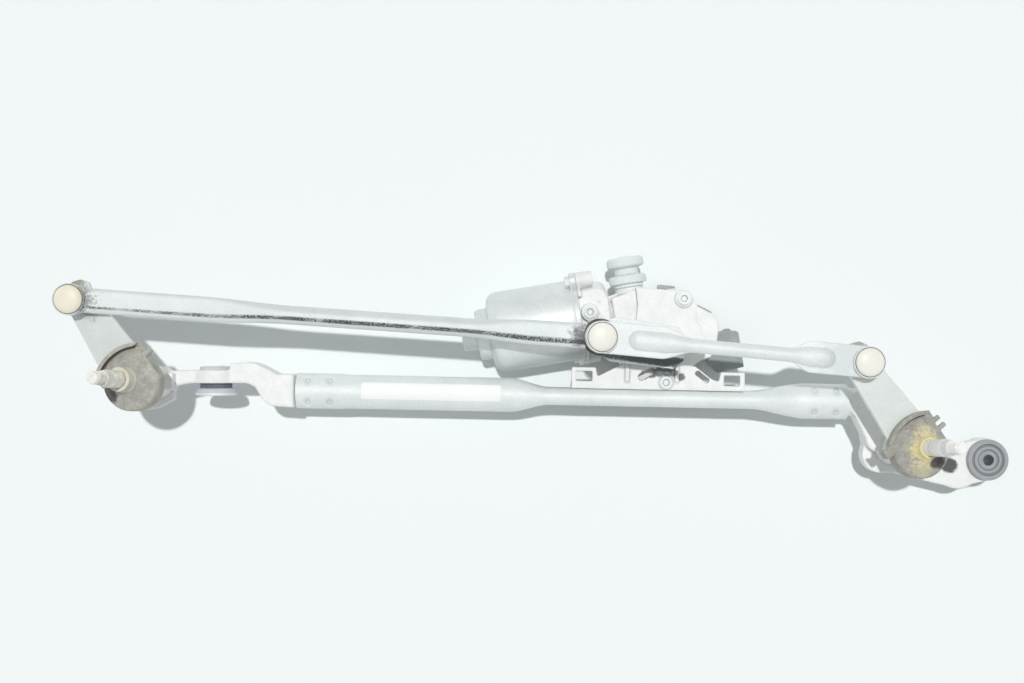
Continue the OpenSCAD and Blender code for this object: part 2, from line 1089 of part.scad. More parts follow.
// Plastic cap that covers the lever's hub and turns with it

module cap_bell(collar_r, shoulder_h, collar_top) {
    lip_x = -10;
    lip_r = 36;
    flat_y = -20.2;
    wall = 1.7;
    opening = lever_hub_r + 0.9;
    difference() {
        union() {
            difference() {
                rotate_extrude()
                    polygon(concat(
                        [[shaft_r - 1, -9], [cap_r, -9], [cap_r, 1.5], [cap_r - 1, 2.8], [cap_r - 4, 4.2]],
                        [[cap_r - 8, 6.6], [collar_r + 3.5, shoulder_h - 3.4], [collar_r + 1.2, shoulder_h - 1]],
                        [[collar_r, shoulder_h + 1.4], [collar_r, collar_top], [shaft_r - 1, collar_top]]
                    ));
                translate([-40, flat_y - 40, -20])
                    cube([80, 40, 60]);
            }
            intersection() {
                translate([lip_x, 0, 0])
                    ring(lip_r, lip_r - 3, 0.05, 6);
                translate([18.5, -40, -1])
                    cube([40, 80, 20]);
            }
            intersection() {
                translate([lip_x, 0, 0.05])
                    cylinder(r = lip_r - 0.5, h = 2);
                translate([9, -22.5, -1])
                    cube([40, 45, 20]);
            }
        }
        intersection() {
            translate([0, 0, -10])
                cylinder(r = cap_r - 2, h = 10.05);
            translate([-40, flat_y + wall, -20])
                cube([80, 80, 40]);
        }
        translate([0, -opening, -20])
            cube([60, 2 * opening, 20]);
        translate([0, 0, -30])
            cylinder(r = shaft_r + 0.05, h = 80);
    }
}
module left_cap() {
    color("tan")
        on_left_shaft()
            rotate(left_lever_angle) {
                cap_bell(9, 12, 22);
                translate([7, -26.5, 0.1])
                    cube([4, 8, 3]);
            }
}

module right_cap() {
    color("tan")
        on_right_shaft()
            rotate(right_lever_angle) {
                cap_bell(8.2, 11.6, 14.4);
                for (tab = [[1, -26.8], [8, -26.2]])
                    translate([tab.x, tab.y, 0.1])
                        cube([3.5, 8, 3]);
                translate([10, 17, 0.1])
                    cube([7, 10, 3]);
                translate([10, 24.5, -6])
                    cube([7, 2.5, 8]);
            }
}

// Links and ball joints

module link_cup(x) {
    translate([x, 0, -cup_half])
        cylinder(r = cup_r, h = 2 * cup_half);
}

module link_cup_bore(x) {
    translate([x, 0, -cup_half - 5])
        cylinder(r = socket_r + 0.02, h = 2 * cup_half + 10);
}

module left_link() {
    r = 7;
    flat_w = 18.6;
    flat_t = 6;
    flat_a = 82;
    round_a = 100;
    round_b = 268;
    flat_b = 292;
    color("silver")
        on_left_link()
            difference() {
                union() {
                    flat_bar(flat_w, flat_t, 4, flat_a);
                    hull() {
                        flat_bar(flat_w, flat_t, flat_a - thin, flat_a, $fn = 32);
                        rod(r, round_a, round_a + thin, $fn = 32);
                    }
                    rod(r, round_a, round_b);
                    hull() {
                        rod(r, round_b - thin, round_b, $fn = 32);
                        flat_bar(flat_w, flat_t, flat_b, flat_b + thin, $fn = 32);
                    }
                    flat_bar(flat_w, flat_t, flat_b, left_link_len - 4);
                    link_cup(0);
                    link_cup(left_link_len);
                }
                rod(r - 1.4, round_a, round_b);
                translate([(round_a + round_b) / 2, 0, -r - 1])
                    cylinder(r = 1.6, h = r);
                link_cup_bore(0);
                link_cup_bore(left_link_len);
            }
}

module paddle_plan(from, to) {
    wide = 13;
    slim = 5;
    shoulder = from + (to - from) * 0.7;
    polygon([[from, -wide], [shoulder, -wide], [to, -slim], [to, slim], [shoulder, wide], [from, wide]]);
    translate([from, 0])
        circle(r = wide);
}

module right_link() {
    t = 3;
    bead_r = 5.2;
    bead_a = 19;
    bead_b = right_link_len - 27;
    color("silver")
        on_right_link()
            difference() {
                union() {
                    translate([0, 0, -t / 2])
                        linear_extrude(t) {
                            paddle_plan(0, 66);
                            translate([right_link_len, 0])
                                mirror([1, 0])
                                    paddle_plan(0, 54);
                        }
                    rod(bead_r, bead_a, bead_b);
                    for (x = [bead_a, bead_b])
                        translate([x, 0, 0])
                            sphere(r = bead_r);
                    link_cup(0);
                    link_cup(right_link_len);
                }
                link_cup_bore(0);
                link_cup_bore(right_link_len);
                rod(bead_r - 1.3, bead_a + 2, bead_b - 2);
                translate([right_link_len / 2, 0, -bead_r - 1])
                    cylinder(r = 1.6, h = bead_r);
            }
}

module socket(capped) {
    top = capped ? cup_half + 2.4 : cup_half + 1.2;
    flange_r = capped ? 11.2 : 12;
    difference() {
        rotate_extrude()
            polygon([
                [0, -cup_half - 0.4], [socket_r, -cup_half - 0.4], [socket_r, cup_half + 0.02],
                [flange_r, cup_half + 0.02], [flange_r, top - 0.6], [flange_r - 0.6, top], [0, top]
            ]);
        sphere(r = ball_r + 0.05);
        translate([0, 0, -20])
            cylinder(r = 6.9, h = 20);
        if (!capped)
            cylinder(r = 6.9, h = 20);
    }
}

module left_lever_socket() {
    color("ivory")
        on_left_link()
            translate([left_link_len, 0, 0])
                socket(true);
}

module left_crank_socket() {
    color("ivory")
        on_left_link()
            socket(false);
}

module right_lever_socket() {
    color("ivory")
        on_right_link()
            translate([right_link_len, 0, 0])
                socket(true);
}

module right_crank_socket() {
    color("ivory")
        on_right_link()
            socket(true);
}

module ball_stud() {
    foot = ball_rise - foot_gap;
    sphere(r = ball_r);
    translate([0, 0, -foot])
        cylinder(r = 4.6, h = foot);
    translate([0, 0, -foot])
        cylinder(r = 7, h = 2.2);
}

module left_ball_stud() {
    color("silver")
        lying()
            on_shaft(left_ball, left_axis)
                ball_stud();
}

module right_ball_stud() {
    color("silver")
        lying()
            on_shaft(right_ball, right_axis)
                ball_stud();
}

frame_tube();
left_pivot_holder();
right_pivot_holder();
left_bushes();
right_bushes();
left_mount_grommet();
left_mount_sleeve();
right_mount_grommet();
right_mount_sleeve();
motor_can();
field_magnets();
end_bearing();
brush_carrier();
brushes();
can_screws();
gear_housing();
gear_cover();
connector();
connector_pins();
output_bush();
motor_carrier();
carrier_bolt_set();
motor_mount_rubber();
crank_arm();
crank_stud();
crank_nut();
output_shaft();
worm_wheel();
worm_shaft();
rotor_core();
commutator();
left_lever();
left_shaft();
left_cap();
left_washers();
left_circlip();
left_stud_rivet();
right_lever();
right_shaft();
right_cap();
right_washers();
right_circlip();
right_stud_rivet();
left_link();
left_lever_socket();
left_crank_socket();
left_ball_stud();
right_link();
right_lever_socket();
right_crank_socket();
right_ball_stud();
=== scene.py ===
import json
import math

import bpy
import bmesh
from mathutils import Matrix, Vector


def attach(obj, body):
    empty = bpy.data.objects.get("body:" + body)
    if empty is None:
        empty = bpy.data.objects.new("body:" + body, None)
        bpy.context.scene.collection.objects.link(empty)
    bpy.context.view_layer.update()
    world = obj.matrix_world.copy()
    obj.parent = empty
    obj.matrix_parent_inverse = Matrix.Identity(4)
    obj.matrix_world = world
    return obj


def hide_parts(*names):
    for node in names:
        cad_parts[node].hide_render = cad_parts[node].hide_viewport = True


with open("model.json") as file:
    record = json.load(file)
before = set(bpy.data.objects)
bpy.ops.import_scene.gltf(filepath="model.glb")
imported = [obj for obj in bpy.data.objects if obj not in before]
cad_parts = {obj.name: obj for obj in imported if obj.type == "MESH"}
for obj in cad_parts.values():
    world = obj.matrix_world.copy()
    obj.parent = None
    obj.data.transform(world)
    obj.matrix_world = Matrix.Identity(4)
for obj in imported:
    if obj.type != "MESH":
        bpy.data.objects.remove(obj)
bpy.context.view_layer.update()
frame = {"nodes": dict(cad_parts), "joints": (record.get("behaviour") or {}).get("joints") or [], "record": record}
nodes = frame["nodes"]
record = frame["record"]
joints = {joint["name"]: joint for joint in frame["joints"]}
bodyOf = {node: body for body, members in record["behaviour"]["bodies"].items() for node in members}
slotOf = {part["node"]: part["material_slot"] for part in record["subparts"]}
scene = bpy.context.scene
scene.view_settings.view_transform = "Standard"
mm = 0.001
print("frame loaded,", len(nodes), "nodes")


# places on the linkage

def turnTo(axis):
    return Vector((0, 0, 1)).rotation_difference(Vector(axis)).to_matrix().to_4x4()


def placeAlong(start, end):  # local x runs from start to end, local y stays level
    start, end = Vector(start) * mm, Vector(end) * mm
    run = end - start
    heading = Matrix.Rotation(math.atan2(run.y, run.x), 4, "Z")
    pitch = Matrix.Rotation(-math.asin(run.z / run.length), 4, "Y")
    return Matrix.Translation(start) @ heading @ pitch


def shaftPlace(jointName):  # a wiper shaft, z up along it from the top of its lever
    joint = joints[jointName]
    return Matrix.Translation(joint["pos_m"]) @ turnTo([-c for c in joint["axis"]])


tableZ = -32.5 * mm
motorTurn = Matrix.Rotation(math.radians(9), 4, "Z")
wormPlace = Matrix.Translation(joints["armature_spin"]["pos_m"]) @ motorTurn
leftShaftPlace = shaftPlace("left_lever_swing")
rightShaftPlace = shaftPlace("right_lever_swing")


# shader node groups

def feed(tree, socket, value):  # a value is set, another node's socket is linked
    if isinstance(value, bpy.types.NodeSocket):
        tree.links.new(value, socket)
    else:
        socket.default_value = value


def addNode(tree, kind, inputs=None, **settings):
    node = tree.nodes.new(kind)
    for key, value in settings.items():
        setattr(node, key, value)
    for key, value in (inputs or {}).items():
        feed(tree, node.inputs[key], value)
    return node


def addMath(tree, operation, *values, clamp=False):
    inputs = dict(enumerate(values))
    return addNode(tree, "ShaderNodeMath", inputs, operation=operation, use_clamp=clamp).outputs[0]


def addRange(tree, value, low, high, toLow=0.0, toHigh=1.0):  # maps low..high on to toLow..toHigh
    return addNode(tree, "ShaderNodeMapRange", {"Value": value, "From Min": low, "From Max": high,
                                                "To Min": toLow, "To Max": toHigh}).outputs[0]


def addNoise(tree, vector, scale, detail, roughness, distortion=0.0):
    return addNode(tree, "ShaderNodeTexNoise", {"Vector": vector, "Scale": scale, "Detail": detail,
                                                "Roughness": roughness, "Distortion": distortion}).outputs["Fac"]


def newGroup(name, inputs, output):
    group = bpy.data.node_groups.new(name, "ShaderNodeTree")
    for label, kind, value in inputs:
        socket = group.interface.new_socket(label, in_out="INPUT", socket_type=kind)
        if value is not None:
            socket.default_value = value
    group.interface.new_socket(output, in_out="OUTPUT", socket_type="NodeSocketFloat")
    source = group.nodes.new("NodeGroupInput").outputs
    sink = group.nodes.new("NodeGroupOutput").inputs
    return group, source, sink[0]


def useGroup(tree, group, **inputs):
    node = tree.nodes.new("ShaderNodeGroup")
    node.node_tree = group
    for key, value in inputs.items():
        feed(tree, node.inputs[key], value)
    return node.outputs[0]


vec, num = "NodeSocketVector", "NodeSocketFloat"

# slow changes of tone over a surface
toneClouds, source, sink = newGroup("toneClouds", [("Vector", vec, None), ("Scale", num, 40)], "Value")
noise = addNoise(toneClouds, source["Vector"], source["Scale"], 5, 0.6)
toneClouds.links.new(addRange(toneClouds, noise, 0.32, 0.68), sink)

# fine grain for roughness and bump
fineGrain, source, sink = newGroup("fineGrain", [("Vector", vec, None), ("Scale", num, 900)], "Value")
fineGrain.links.new(addNoise(fineGrain, source["Vector"], source["Scale"], 3, 0.65), sink)

# dirt that sits in ragged patches
grimePatches, source, sink = newGroup(
    "grimePatches", [("Vector", vec, None), ("Scale", num, 120), ("Amount", num, 0.2)], "Mask")
noise = addNoise(grimePatches, source["Vector"], source["Scale"], 8, 0.7, distortion=0.4)
level = addMath(grimePatches, "SUBTRACT", 0.78, source["Amount"])
top = addMath(grimePatches, "ADD", level, 0.16)
grimePatches.links.new(addRange(grimePatches, noise, level, top), sink)

# a stain round one place, ragged at its edge; the same group draws spots of painted shade
stainAndShadeSpot, source, sink = newGroup(
    "stainAndShadeSpot", [("Vector", vec, None), ("Centre", vec, None), ("Radius", num, 0.01), ("Edge", num, 0.005),
                  ("Breakup", num, 300)], "Mask")
noise = addNoise(stainAndShadeSpot, source["Vector"], source["Breakup"], 6, 0.7)
away = addNode(stainAndShadeSpot, "ShaderNodeVectorMath", {0: source["Vector"], 1: source["Centre"]},
               operation="DISTANCE").outputs["Value"]
wobble = addMath(stainAndShadeSpot, "MULTIPLY", addMath(stainAndShadeSpot, "SUBTRACT", noise, 0.5), source["Edge"])
ragged = addMath(stainAndShadeSpot, "MULTIPLY_ADD", wobble, 4.0, away)
outer = addMath(stainAndShadeSpot, "ADD", source["Radius"], source["Edge"])
stainAndShadeSpot.links.new(addRange(stainAndShadeSpot, ragged, outer, source["Radius"]), sink)

# rust and dirt along a line of the wrap map, thinner towards one end; the same group also draws a painted shadow band
wrapRound = 0.045  # metres that one turn of the wrap map stands for
lineDirtAndShadow, source, sink = newGroup(
    "lineDirtAndShadow", [("Wrap", vec, None), ("Line", num, 0.5), ("Width", num, 0.03), ("Amount", num, 0.5),
                 ("ThinFrom", num, -2), ("ThinTo", num, -1)], "Mask")
parts = addNode(lineDirtAndShadow, "ShaderNodeSeparateXYZ", {0: source["Wrap"]})
evened = addNode(lineDirtAndShadow, "ShaderNodeVectorMath", {0: source["Wrap"], 1: (1.0, wrapRound, 1.0)},
                 operation="MULTIPLY").outputs[0]
coarse = addNoise(lineDirtAndShadow, evened, 55, 4, 0.6)
fine = addNoise(lineDirtAndShadow, evened, 800, 5, 0.75)
away = addMath(lineDirtAndShadow, "ABSOLUTE", addMath(lineDirtAndShadow, "SUBTRACT", parts.outputs["Y"], source["Line"]))
thin = addRange(lineDirtAndShadow, parts.outputs["X"], source["ThinFrom"], source["ThinTo"], 0.5, 1.0)
wide = addMath(lineDirtAndShadow, "MULTIPLY", source["Width"], thin)
core = addMath(lineDirtAndShadow, "MULTIPLY", wide, 0.45)
band = addRange(lineDirtAndShadow, away, wide, core)
speck = addRange(lineDirtAndShadow, fine, 0.42, 0.56)
patch = addRange(lineDirtAndShadow, coarse, 0.34, 0.6, 0.3, 1.0)
both = addMath(lineDirtAndShadow, "MULTIPLY", band, patch)
lift = addMath(lineDirtAndShadow, "MULTIPLY_ADD", speck, 0.75, 0.25)
dirtAndShadowMask = addMath(lineDirtAndShadow, "MULTIPLY", both, lift)
strong = addMath(lineDirtAndShadow, "MULTIPLY", thin, source["Amount"])
lineDirtAndShadow.links.new(addMath(lineDirtAndShadow, "MULTIPLY", dirtAndShadowMask, strong, clamp=True), sink)


# finishes

def tone(red, green, blue):  # a colour as a paint program shows it
    def linear(c):
        c /= 255
        return c / 12.92 if c <= 0.04045 else ((c + 0.055) / 1.055) ** 2.4
    return (linear(red), linear(green), linear(blue), 1)


def mixColour(tree, amount, under, over):
    mix = addNode(tree, "ShaderNodeMix", data_type="RGBA")
    for key, value in (("Factor", amount), ("A", under), ("B", over)):
        feed(tree, mix.inputs[key], value)
    return next(s for s in mix.outputs if s.type == "RGBA")


def buildFinish(name, look):
    material = bpy.data.materials.new(name)
    material.use_nodes = True
    tree = material.node_tree
    shader = tree.nodes["Principled BSDF"]
    place = addNode(tree, "ShaderNodeTexCoord")
    where = place.outputs["Object"]
    grimeTone = tone(*look["grime"])
    # tone, patches of grime, specks
    clouds = useGroup(tree, toneClouds, Vector=where, Scale=look.get("clouds", 40))
    grime = useGroup(tree, grimePatches, Vector=where, Scale=look.get("grimeScale", 110),
                     Amount=look.get("grimeAmount", 0.1))
    grain = useGroup(tree, fineGrain, Vector=where, Scale=look.get("grain", 900))
    speck = useGroup(tree, fineGrain, Vector=where, Scale=look.get("speckScale", 650))
    colour = mixColour(tree, clouds, tone(*look["colour"]), tone(*look["shade"]))
    colour = mixColour(tree, grime, colour, grimeTone)
    colour = mixColour(tree, addRange(tree, speck, 0.42, 0.66, 0, look.get("speck", 0.14)), colour, grimeTone)
    # dirt along a line of the wrap map, or painted shadow along a straight band
    if "line" in look:
        line = look["line"]
        dirtAndShadow = useGroup(tree, lineDirtAndShadow, Wrap=place.outputs["UV"], Line=line["at"], Width=line["width"],
                        Amount=line["amount"], ThinFrom=line["thin"][0], ThinTo=line["thin"][1])
        colour = mixColour(tree, dirtAndShadow, colour, tone(*line["colour"]))
    if "band" in look:
        band = look["band"]
        across = addNode(tree, "ShaderNodeMapping", {
            "Vector": where, "Location": [c * mm for c in band["origin"]],
            "Rotation": (0, 0, math.radians(band["turn"])), "Scale": (1, wrapRound, 1)}, vector_type="TEXTURE")
        dirtAndShadow = useGroup(tree, lineDirtAndShadow, Wrap=across.outputs[0], Line=band["at"] * mm / wrapRound,
                        Width=band["width"] * mm / wrapRound, Amount=band["amount"])
        colour = mixColour(tree, dirtAndShadow, colour, tone(*band["colour"]))
    # painted shade in hollows and painted highlight on outer edges, from the crease attribute
    crease = addNode(tree, "ShaderNodeAttribute", attribute_name="crease").outputs["Fac"]
    hollow = addRange(tree, crease, 0.02, 0.22, 0, look.get("hollow", 0.5))
    colour = mixColour(tree, hollow, colour, tone(*look.get("hollowTone", (120, 121, 120))))
    ridgeHighlight = addRange(tree, crease, -0.04, -0.3, 0, look.get("ridgeHighlight", 0.3))
    colour = mixColour(tree, ridgeHighlight, colour, tone(*look.get("ridgeHighlightTone", (255, 255, 255))))
    for spot in look.get("spots", []):
        stainAndShade = useGroup(tree, stainAndShadeSpot, Vector=where, Centre=[c * mm for c in spot["centre"]],
                         Radius=spot["radius"] * mm, Edge=spot["edge"] * mm, Breakup=spot.get("breakup", 300))
        colour = mixColour(tree, addMath(tree, "MULTIPLY", stainAndShade, spot["strength"]), colour, tone(*spot["colour"]))
    tree.links.new(colour, shader.inputs["Base Color"])
    # gloss and grain
    rough = addRange(tree, grain, 0, 1, look["rough"] - roughSwing, look["rough"] + roughSwing)
    tree.links.new(addMath(tree, "MULTIPLY_ADD", grime, 0.2, rough, clamp=True), shader.inputs["Roughness"])
    shader.inputs["Metallic"].default_value = look.get("metallic", 0)
    bump = addNode(tree, "ShaderNodeBump", {"Height": grain, "Strength": look.get("bump", 0.1), "Distance": grainDeep})
    tree.links.new(bump.outputs[0], shader.inputs["Normal"])
    return material


roughSwing, grainDeep = 0.07, 0.3 * mm
# hollow values set painted shade in hollows, ridge values set painted highlight on outer edges
finishLooks = dict(
    zinc_steel=dict(colour=(240, 244, 243), shade=(229, 234, 233), grime=(176, 180, 178), grimeAmount=0.08,
                    rough=0.57, metallic=0.32, bump=0.06),
    lever_steel=dict(colour=(235, 239, 236), shade=(226, 231, 228), grime=(178, 180, 174), grimeAmount=0.13,
                     rough=0.55, metallic=0.3, grain=1400, bump=0.08),
    bright_steel=dict(colour=(205, 209, 211), shade=(190, 195, 198), grime=(120, 118, 112), rough=0.35, metallic=0.8),
    # the shafts' threads and knurls get strong painted shade in their hollows
    shaft_steel=dict(colour=(255, 255, 255), shade=(246, 245, 241), grime=(190, 182, 166), grimeAmount=0.14,
                     rough=0.24, metallic=0.05, clouds=260, grimeScale=420, speck=0.08, hollowTone=(104, 100, 94),
                     hollow=0.8),
    dark_steel=dict(colour=(176, 180, 182), shade=(150, 154, 157), grime=(96, 94, 90), rough=0.45, metallic=0.6),
    can_steel=dict(colour=(240, 243, 242), shade=(224, 229, 229), grime=(172, 176, 175), grimeAmount=0.14,
                   rough=0.48, metallic=0.4),
    cast_metal=dict(colour=(246, 247, 245), shade=(234, 236, 234), grime=(188, 189, 185), grimeAmount=0.14,
                    rough=0.58, metallic=0.12, bump=0.25, grain=420, clouds=70, hollow=0.75, ridgeHighlight=0.5),
    ivory_plastic=dict(colour=(246, 244, 236), shade=(240, 237, 225), grime=(206, 192, 158), grimeAmount=0.06,
                       rough=0.35, bump=0.03, speck=0.1),
    cap_plastic=dict(colour=(192, 191, 182), shade=(162, 160, 152), grime=(122, 114, 98), grimeAmount=0.18,
                     rough=0.66, grimeScale=260, bump=0.15, clouds=170, speck=0.3, hollowTone=(86, 82, 76),
                     ridgeHighlight=0.45, ridgeHighlightTone=(222, 217, 200)),
    black_plastic=dict(colour=(162, 168, 170), shade=(132, 138, 141), grime=(186, 190, 190), grimeAmount=0.2,
                       rough=0.55, bump=0.12),
    brown_plastic=dict(colour=(110, 76, 50), shade=(96, 64, 42), grime=(60, 44, 34), rough=0.5),
    mount_rubber=dict(colour=(150, 155, 159), shade=(126, 131, 136), grime=(186, 188, 189), grimeAmount=0.16,
                      rough=0.72, bump=0.12),
    bronze=dict(colour=(184, 140, 96), shade=(160, 120, 80), grime=(96, 72, 50), rough=0.4, metallic=0.9),
    contact_metal=dict(colour=(220, 190, 120), shade=(200, 170, 104), grime=(130, 104, 60), rough=0.3, metallic=0.95),
    magnet=dict(colour=(70, 70, 74), shade=(58, 58, 62), grime=(90, 88, 86), rough=0.7, metallic=0.2),
    carbon=dict(colour=(44, 44, 46), shade=(36, 36, 38), grime=(60, 58, 56), rough=0.6),
    winding=dict(colour=(150, 96, 60), shade=(120, 76, 48), grime=(80, 54, 40), rough=0.4, metallic=0.6),
)


def variant(name, slot, **changes):  # a finish of its own from one in the table
    return buildFinish(name, dict(finishLooks[slot], **changes))


finishes = {name: buildFinish(name, look) for name, look in finishLooks.items()}
for node, piece in nodes.items():
    piece.data.materials.clear()
    piece.data.materials.append(finishes[slotOf[node]])
print("finishes built,", len(finishes))


# making pieces

def settle(name, bm, finish, node, stands=True, sharp=40):  # stands: the piece replaces its node
    bmesh.ops.recalc_face_normals(bm, faces=bm.faces)
    mesh = bpy.data.meshes.new(name)
    bm.to_mesh(mesh)
    bm.free()
    piece = bpy.data.objects.new(name, mesh)
    scene.collection.objects.link(piece)
    mesh.materials.append(finish)
    mesh.polygons.foreach_set("use_smooth", [True] * len(mesh.polygons))
    mesh.set_sharp_from_angle(angle=math.radians(sharp))
    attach(piece, bodyOf[node])
    if stands:
        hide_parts(node)
    return piece


def spinProfile(profile, place, steps=72):  # radius and height in mm, turned about the place's z
    bm = bmesh.new()
    chain = [bm.verts.new((radius, 0, height)) for radius, height in profile]
    edges = [bm.edges.new(pair) for pair in zip(chain, chain[1:])]
    bmesh.ops.spin(bm, geom=chain + edges, cent=(0, 0, 0), axis=(0, 0, 1), angle=2 * math.pi, steps=steps,
                   use_merge=True)
    bmesh.ops.remove_doubles(bm, verts=bm.verts, dist=0.001)
    bmesh.ops.transform(bm, matrix=place @ Matrix.Scale(mm, 4), verts=bm.verts)
    return bm


def loftRings(stations, ringPoint, place, count=64):  # rings in mm along the place's x, from the bottom round
    bm = bmesh.new()
    order = bm.verts.layers.int.new("order")
    along = bm.verts.layers.float.new("along")
    wrap = bm.loops.layers.uv.new("wrap")
    ring = bmesh.ops.create_circle(bm, segments=count, radius=1)["verts"]
    for step, vert in enumerate(sorted(ring, key=lambda v: math.atan2(v.co.y, v.co.x))):
        vert[order] = step
    edges = bm.edges[:]
    ends = []
    for index, x in enumerate(stations):
        if index:
            grown = bmesh.ops.extrude_edge_only(bm, edges=edges)["geom"]
            ring = [g for g in grown if isinstance(g, bmesh.types.BMVert)]
            fresh = set(ring)
            edges = [g for g in grown if isinstance(g, bmesh.types.BMEdge) and set(g.verts) <= fresh]
        for vert in ring:
            vert[along] = x
            vert.co = Vector((x, *ringPoint(x, 2 * math.pi * vert[order] / count - math.pi / 2)))
        if index in (0, len(stations) - 1):
            ends.append(edges[:])
    for edges in ends:
        bmesh.ops.contextual_create(bm, geom=edges)
    for face in bm.faces:
        seam = any(loop.vert[order] == count - 1 for loop in face.loops)
        for loop in face.loops:
            step = count if seam and loop.vert[order] == 0 else loop.vert[order]
            loop[wrap].uv = (loop.vert[along] * mm, step / count)
    bmesh.ops.transform(bm, matrix=place @ Matrix.Scale(mm, 4), verts=bm.verts)
    return bm


def softCopy(node, name, voxel, passes, keep, finish=None):  # a CAD solid with the round edges of a moulding
    bm = bmesh.new()
    bm.from_mesh(nodes[node].data)
    bmesh.ops.remove_doubles(bm, verts=bm.verts, dist=1e-6)
    piece = settle(name, bm, finish or finishes[slotOf[node]], node, sharp=180)
    remesh = piece.modifiers.new("remesh", "REMESH")
    remesh.mode, remesh.voxel_size = "VOXEL", voxel * mm
    smooth = piece.modifiers.new("smooth", "SMOOTH")
    smooth.factor, smooth.iterations = 0.5, passes
    piece.modifiers.new("thin", "DECIMATE").ratio = keep
    shaped = piece.evaluated_get(bpy.context.evaluated_depsgraph_get())
    mesh = bpy.data.meshes.new_from_object(shaped)
    piece.modifiers.clear()
    piece.data = mesh
    mesh.polygons.foreach_set("use_smooth", [True] * len(mesh.polygons))
    markCreases(mesh)
    return piece


def markCreases(mesh):  # hollow places above zero, outer edges below it
    bm = bmesh.new()
    bm.from_mesh(mesh)
    bm.normal_update()
    bends = []
    for vert in bm.verts:
        runs = [edge.other_vert(vert).co - vert.co for edge in vert.link_edges]
        bends.append(sum(vert.normal.dot(run) / max(run.length, 1e-9) for run in runs) / max(1, len(runs)))
    bm.free()
    layer = mesh.attributes.new("crease", "FLOAT", "POINT")
    layer.data.foreach_set("value", bends)


def paintFaces(piece, finish, place, picks):  # faces that picks says yes to, in mm of the place, get another finish
    piece.data.materials.append(finish)
    home = place.inverted()
    for face in piece.data.polygons:
        spot = home @ face.center / mm
        if picks(math.hypot(spot.x, spot.y), spot):
            face.material_index = len(piece.data.materials) - 1


def ease(low, high, x):
    t = min(1, max(0, (x - low) / (high - low)))
    return t * t * (3 - 2 * t)


def spanSteps(*runs):  # stations from (start, end, step) runs
    out = []
    for start, end, step in runs:
        count = max(1, round((end - start) / step))
        out += [start + (end - start) * i / count for i in range(count)]
    return out + [runs[-1][1]]


# frame tube

tube = dict(start=(-536.2, 53.8, 7.5), end=(-109.8, 45, 7.5), radius=13.2, pinchWide=13.5, pinchTall=33.8,
            tapers=(165, 196, 350, 392), swell=0.5, swellEnd=40, swellRun=6, dents=(9, 26), dentSide=8.2,
            dentDeep=2.4, dentRadius=2.7, fine=0.7)
tubePlace = placeAlong(tube["start"], tube["end"])
tubeLength = (Vector(tube["end"]) - Vector(tube["start"])).length
dentRows = [*tube["dents"], *(tubeLength - d for d in tube["dents"])]
dentPlaces = [(x, side * tube["dentSide"]) for x in dentRows for side in (-1, 1)]


def tubeRing(x, angle):
    a, b, c, d = tube["tapers"]
    flat = ease(a, b, x) * (1 - ease(c, d, x))
    swellEnd, run = tube["swellEnd"], tube["swellRun"]
    ends = max(1 - ease(swellEnd - run, swellEnd, x), ease(tubeLength - swellEnd, tubeLength - swellEnd + run, x))
    radius = tube["radius"] + tube["swell"] * ends
    cosine, sine = math.cos(angle), math.sin(angle)
    straight = (tube["pinchTall"] - tube["pinchWide"]) / 2
    half = radius + (tube["pinchWide"] / 2 - radius) * flat
    y = half * cosine
    z = half * sine + straight * flat * max(-1, min(1, 6 * sine))
    for dx, dy in dentPlaces:
        if sine > 0:
            away = math.hypot(x - dx, y - dy)
            z -= tube["dentDeep"] * math.exp(-(away / tube["dentRadius"]) ** 4)
    return y, z


a, b, c, d = tube["tapers"]
tubeSteps = spanSteps((0, tube["swellEnd"], tube["fine"]), (tube["swellEnd"], a, 8), (a, b, 1.5), (b, c, 10),
                      (c, d, 1.5), (d, tubeLength, tube["fine"]))
tubeShape = loftRings(tubeSteps, tubeRing, tubePlace, count=120)
markCreases(settle("frameTube", tubeShape, finishes["zinc_steel"], "frame_tube").data)
print("frame tube done")


# links

leftLink = dict(pin=(-303.533, 95.280, 55.5), ball=(-697.751, 123.260, 58.491), radius=7, flatWide=18.6,
                flatThick=6.4, tapers=(45, 100, 232, 297), ends=6, flatSquare=3.2, colour=(228, 233, 232),
                shade=(217, 223, 222), rough=0.54,
                line=dict(at=0.44, width=0.046, amount=2.0, thin=(0.385, 0.2), colour=(70, 70, 73)),
                spots=[dict(centre=(-690, 124, 62), radius=4, edge=10, colour=(96, 92, 86), strength=0.7, breakup=420),
                       dict(centre=(-317, 96, 60), radius=4, edge=7, colour=(70, 68, 66), strength=0.8, breakup=420)])
rightLink = dict(pin=(-303.533, 95.280, 73.5), ball=(-107.487, 76.756, 69.706), plateThick=3, wide=(23.8, 23.6),
                 slim=10.4, shoulders=((44, 68), (42, 58)), bead=5.2, noseWide=7.8, beadEnds=(19, 24),
                 crankEnd=((-11.9, -9, 0.5), (-9, 0, 1.5), (0, 18, 4), (18, 32, 0.5), (32, 44, 4), (44, 68, 1.2)),
                 leverEnd=((-60, -40, 1.2), (-40, -36, 2), (-36, -23, 0.5), (-23, 0, 4), (0, 8, 1.5), (8, 11.8, 0.5)),
                 spots=[dict(centre=(-124, 78.3, 72), radius=10, edge=16, colour=(206, 213, 212), strength=0.6,
                             breakup=160)])


def barRing(wide, thick, square, angle):  # a flattened bar
    c, s = math.cos(angle), math.sin(angle)
    return (wide / 2 * math.copysign(abs(c) ** (2 / square), c), thick / 2 * math.copysign(abs(s) ** (2 / square), s))


leftPlace = placeAlong(leftLink["pin"], leftLink["ball"])
leftLength = (Vector(leftLink["ball"]) - Vector(leftLink["pin"])).length


